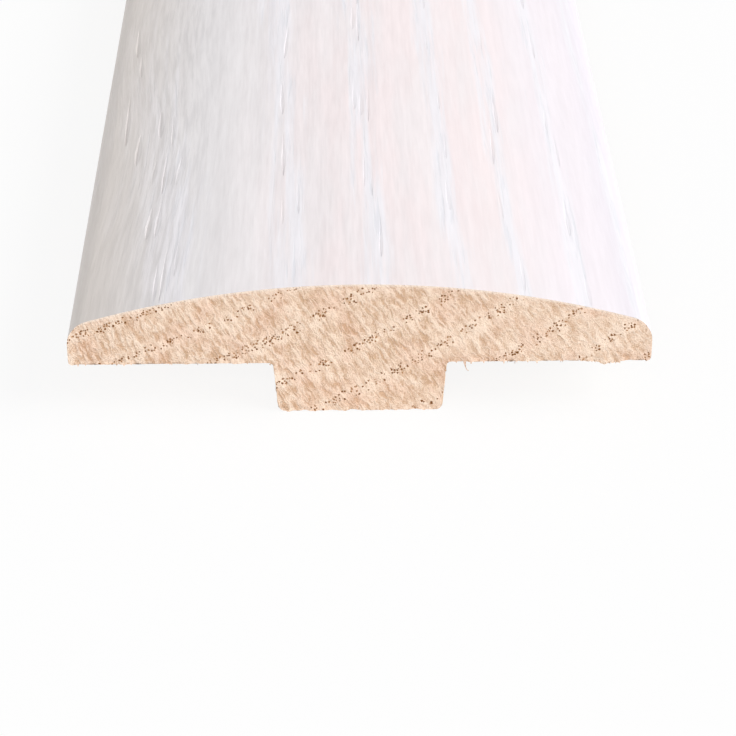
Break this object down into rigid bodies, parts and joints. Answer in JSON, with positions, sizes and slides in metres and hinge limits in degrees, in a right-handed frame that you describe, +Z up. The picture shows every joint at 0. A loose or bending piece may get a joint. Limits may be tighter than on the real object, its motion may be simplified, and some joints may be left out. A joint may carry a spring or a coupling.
{
  "type": "t-moulding",
  "caption": "Solid wood T-section floor transition strip: crowned flange over a tapered stem, white-stained top, raw sawn ends; bridges the gap between two hard floors.",
  "frame": {"origin": "middle of the foot's underside, halfway along the length", "axes": "+Y along the length away from the sawn end that the picture shows, +X across the flange, +Z up through the crown"},
  "size_m": [0.0508, 0.9144, 0.0126],
  "materials": {
    "white_stained_ash": "translucent white stain under satin lacquer on the crown and lips, open pores; raw pale ash on the sawn ends, underside and stem"
  },
  "bodies": {
    "root": {"t_moulding": "white_stained_ash"}
  },
  "joints": []
}
